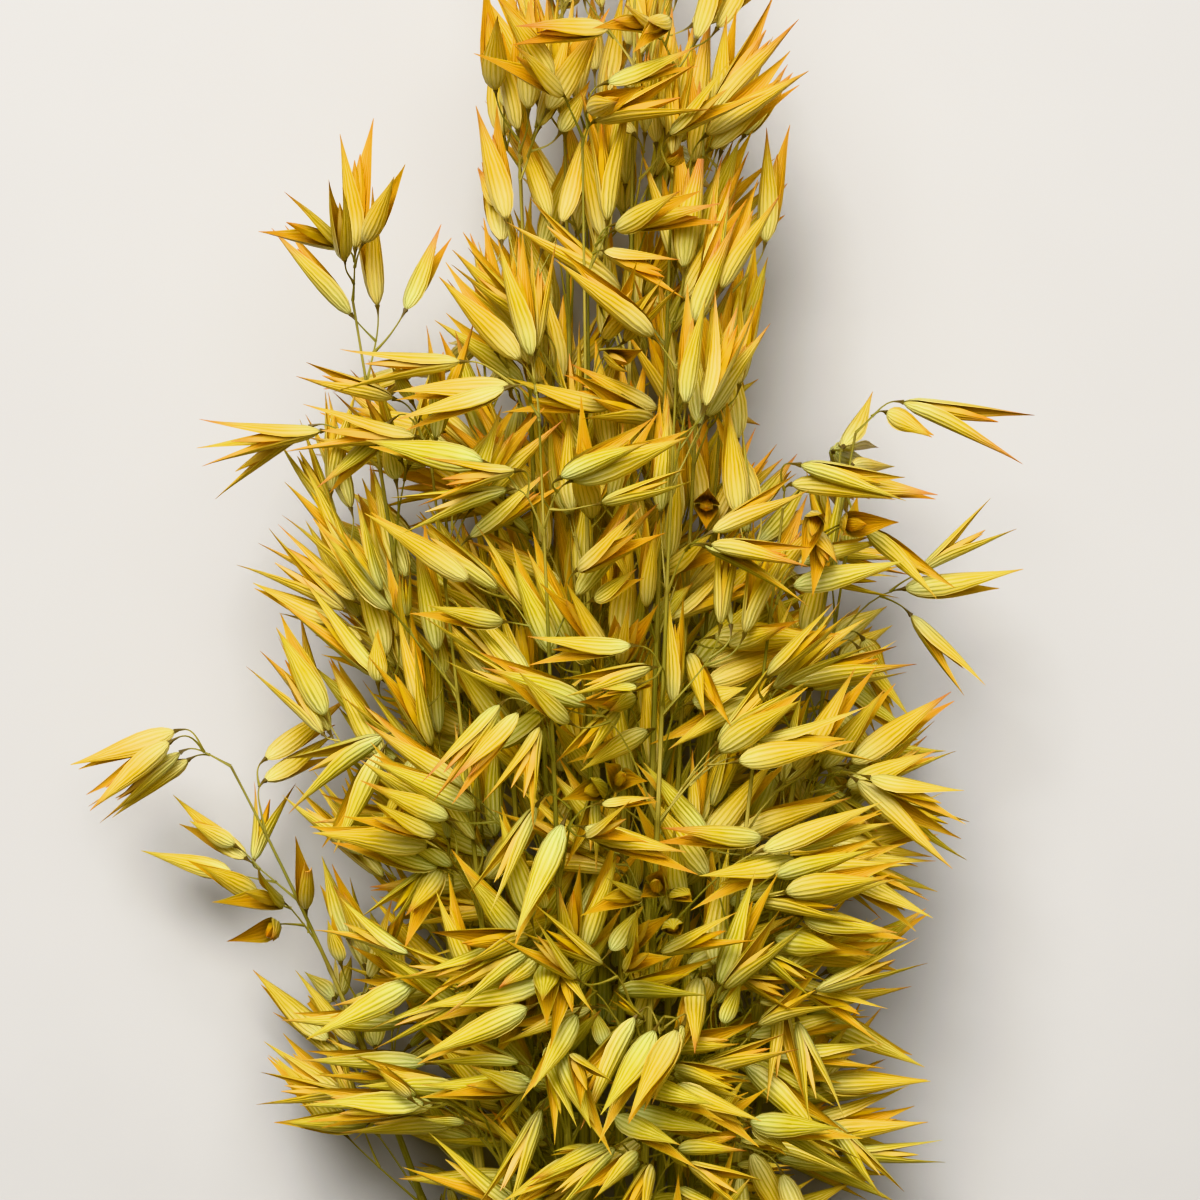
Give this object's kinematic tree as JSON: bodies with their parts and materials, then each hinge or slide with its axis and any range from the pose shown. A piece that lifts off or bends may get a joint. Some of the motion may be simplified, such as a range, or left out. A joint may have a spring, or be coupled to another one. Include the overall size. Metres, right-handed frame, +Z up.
{
  "type": "dried oats bunch",
  "caption": "Bunch of dried oats lying on its side: straw stems gathered by an elastic band, with loose heads of long pointed husks that part in a V.",
  "frame": {"origin": "middle of the bunch's bounding box, at the height of the table it lies on", "axes": "+Y along the stems towards the heads, +Z up from the table, +X to the right as the picture shows the bunch"},
  "size_m": [0.2126, 0.595, 0.1208],
  "materials": {
    "oats": "dry matt straw and husk, yellow-green with fine lengthwise veins, ends turning orange-brown",
    "band": "matt tan elastic"
  },
  "bodies": {
    "root": {"band": "band", "stalk_01": "oats", "stalk_02": "oats", "stalk_03": "oats", "stalk_04": "oats", "stalk_05": "oats", "stalk_06": "oats", "stalk_07": "oats", "stalk_08": "oats", "stalk_09": "oats", "stalk_10": "oats", "stalk_11": "oats", "stalk_12": "oats", "stalk_13": "oats", "stalk_14": "oats", "stalk_15": "oats", "stalk_16": "oats", "stalk_17": "oats", "stalk_18": "oats", "stalk_19": "oats", "stalk_20": "oats", "stalk_21": "oats", "stalk_22": "oats", "stalk_23": "oats", "stalk_24": "oats"}
  },
  "joints": []
}
